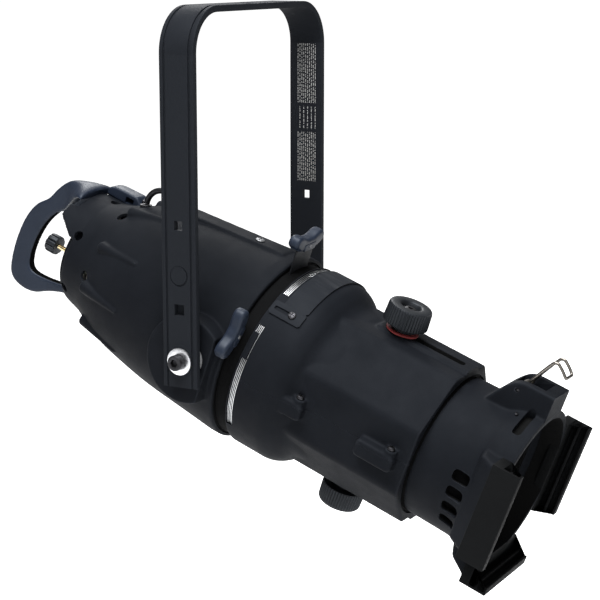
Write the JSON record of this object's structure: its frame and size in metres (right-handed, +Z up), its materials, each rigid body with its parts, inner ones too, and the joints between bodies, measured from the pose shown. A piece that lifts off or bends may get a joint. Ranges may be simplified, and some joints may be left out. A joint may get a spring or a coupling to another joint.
{
  "type": "ellipsoidal spotlight",
  "caption": "Ellipsoidal stage spotlight in a steel yoke: reflector housing with handle, framing shutters, rotating barrel, sliding lens tube and front accessory holder.",
  "frame": {"origin": "centre of the clamp bolt hole on the top face of the yoke", "axes": "+Z up, +X from the near yoke arm to the far yoke arm along the tilt axis, the beam leaves towards -Y, tilted 20.6 degrees down"},
  "size_m": [0.2886, 0.65, 0.5454],
  "materials": {
    "body_paint": "textured dark grey powder coat on die-cast alloy",
    "yoke_paint": "textured dark grey powder coat on steel bar",
    "dark_steel": "blackened steel",
    "gate_metal": "black anodised die-cast alloy",
    "zinc_steel": "bright zinc plate",
    "stainless": "rolled stainless sheet and wire",
    "moulded_grip": "satin blue-grey heat-resistant moulding",
    "black_plastic": "satin black moulding",
    "nylon": "grey bearing nylon",
    "red_fibre": "red fibre washer",
    "brass": "turned brass",
    "mirror_coat": "faceted mirror coat",
    "bare_aluminium": "machined aluminium",
    "lens_glass": "clear pressed glass",
    "lamp_glass": "clear quartz envelope",
    "ceramic": "unglazed steatite"
  },
  "bodies": {
    "yoke": {"yoke": "yoke_paint", "near_pivot_bolt": "dark_steel", "near_pivot_washer": "zinc_steel", "far_pivot_washer": "zinc_steel", "near_pivot_spacer": "nylon", "far_pivot_spacer": "nylon"},
    "tilt_lock": {"tilt_lock_knob": "black_plastic", "tilt_lock_stud": "zinc_steel"},
    "head": {"reflector_housing": "body_paint", "reflector": "mirror_coat", "reflector_ring": "bare_aluminium", "gate_retainer": "gate_metal", "lamp_cap": "body_paint", "rear_handle": "moulded_grip", "cable_gland": "moulded_grip", "safety_eye": "dark_steel"},
    "lamp_adjuster": {"lamp_knob": "black_plastic", "lamp_adjusting_screw": "brass"},
    "lamp_carrier": {"lamp_holder": "ceramic", "lamp_base": "bare_aluminium", "lamp_bulb": "lamp_glass"},
    "barrel": {"gate_body": "gate_metal", "gate_plate_1": "stainless", "gate_plate_2": "stainless", "gate_plate_3": "stainless", "gate_plate_4": "stainless", "barrel_top": "body_paint", "barrel_bottom": "body_paint", "tube_guide_ring": "nylon", "near_cover_screw": "zinc_steel", "far_cover_screw": "zinc_steel", "near_rear_barrel_screw": "zinc_steel", "near_front_barrel_screw": "zinc_steel", "far_rear_barrel_screw": "zinc_steel", "far_front_barrel_screw": "zinc_steel"},
    "near_shutter": {"near_shutter_blade": "stainless", "near_shutter_grip": "moulded_grip"},
    "top_shutter": {"top_shutter_blade": "stainless", "top_shutter_grip": "moulded_grip"},
    "bottom_shutter": {"bottom_shutter_blade": "stainless", "bottom_shutter_grip": "moulded_grip"},
    "far_shutter": {"far_shutter_blade": "stainless", "far_shutter_grip": "moulded_grip"},
    "pattern_cover": {"pattern_cover": "yoke_paint"},
    "focus_tube": {"lens_tube": "body_paint", "rear_lens": "lens_glass", "rear_lens_ring": "dark_steel", "front_lens": "lens_glass", "front_lens_ring": "dark_steel", "accessory_holder": "body_paint", "clip_pin": "stainless"},
    "clip": {"retaining_clip": "stainless"},
    "top_focus": {"top_focus_knob": "black_plastic", "top_focus_stud": "zinc_steel", "top_focus_washer": "red_fibre"},
    "bottom_focus": {"bottom_focus_knob": "black_plastic", "bottom_focus_stud": "zinc_steel"}
  },
  "joints": [
    {"name": "tilt", "type": "hinge", "parent": "yoke", "child": "head", "pos_m": [0, 0, -0.336], "axis": [1, 0, 0], "range_deg": [-70, 69]},
    {"name": "tilt_lock_turn", "type": "hinge", "parent": "yoke", "child": "tilt_lock", "pos_m": [0, 0, -0.336], "axis": [1, 0, 0], "continuous": true},
    {"name": "lamp_adjust", "type": "hinge", "parent": "head", "child": "lamp_adjuster", "pos_m": [0, 0.22092, -0.27005], "axis": [0, -0.9361, -0.3518], "range_deg": [-725, 725]},
    {"name": "lamp_focus", "type": "slide", "parent": "head", "child": "lamp_carrier", "axis": [0, -0.9361, -0.3518], "range_m": [-0.0025, 0.0025]},
    {"name": "barrel_rotation", "type": "hinge", "parent": "head", "child": "barrel", "pos_m": [0, 0, -0.336], "axis": [0, -0.9361, -0.3518], "range_deg": [-25, 25]},
    {"name": "near_shutter_slide", "type": "slide", "parent": "barrel", "child": "near_shutter", "axis": [-0.9272, -0.1318, 0.3507], "range_m": [0, 0.038]},
    {"name": "top_shutter_slide", "type": "slide", "parent": "barrel", "child": "top_shutter", "axis": [-0.0872, -0.3505, 0.9325], "range_m": [-0.017, 0.021]},
    {"name": "bottom_shutter_slide", "type": "slide", "parent": "barrel", "child": "bottom_shutter", "axis": [0.4695, 0.3107, -0.8265], "range_m": [0, 0.038]},
    {"name": "far_shutter_slide", "type": "slide", "parent": "barrel", "child": "far_shutter", "axis": [0.9272, -0.1318, 0.3507], "range_m": [0, 0.038]},
    {"name": "pattern_cover_slide", "type": "slide", "parent": "barrel", "child": "pattern_cover", "axis": [0, -0.9361, -0.3518], "range_m": [0, 0.018]},
    {"name": "focus_slide", "type": "slide", "parent": "barrel", "child": "focus_tube", "axis": [0, -0.9361, -0.3518], "range_m": [0, 0.064]},
    {"name": "clip_hinge", "type": "hinge", "parent": "focus_tube", "child": "clip", "pos_m": [0, -0.30359, -0.34969], "axis": [1, 0, 0], "range_deg": [-20, 36]},
    {"name": "top_focus_turn", "type": "hinge", "parent": "focus_tube", "child": "top_focus", "pos_m": [0, -0.18027, -0.29693], "axis": [0, -0.3518, 0.9361], "continuous": true},
    {"name": "bottom_focus_turn", "type": "hinge", "parent": "focus_tube", "child": "bottom_focus", "pos_m": [0, -0.10991, -0.48414], "axis": [0, -0.3518, 0.9361], "continuous": true}
  ],
  "couplings": [
    {"joint": "lamp_adjust", "follows": "lamp_focus", "rad_per_m": 5026.5}
  ]
}
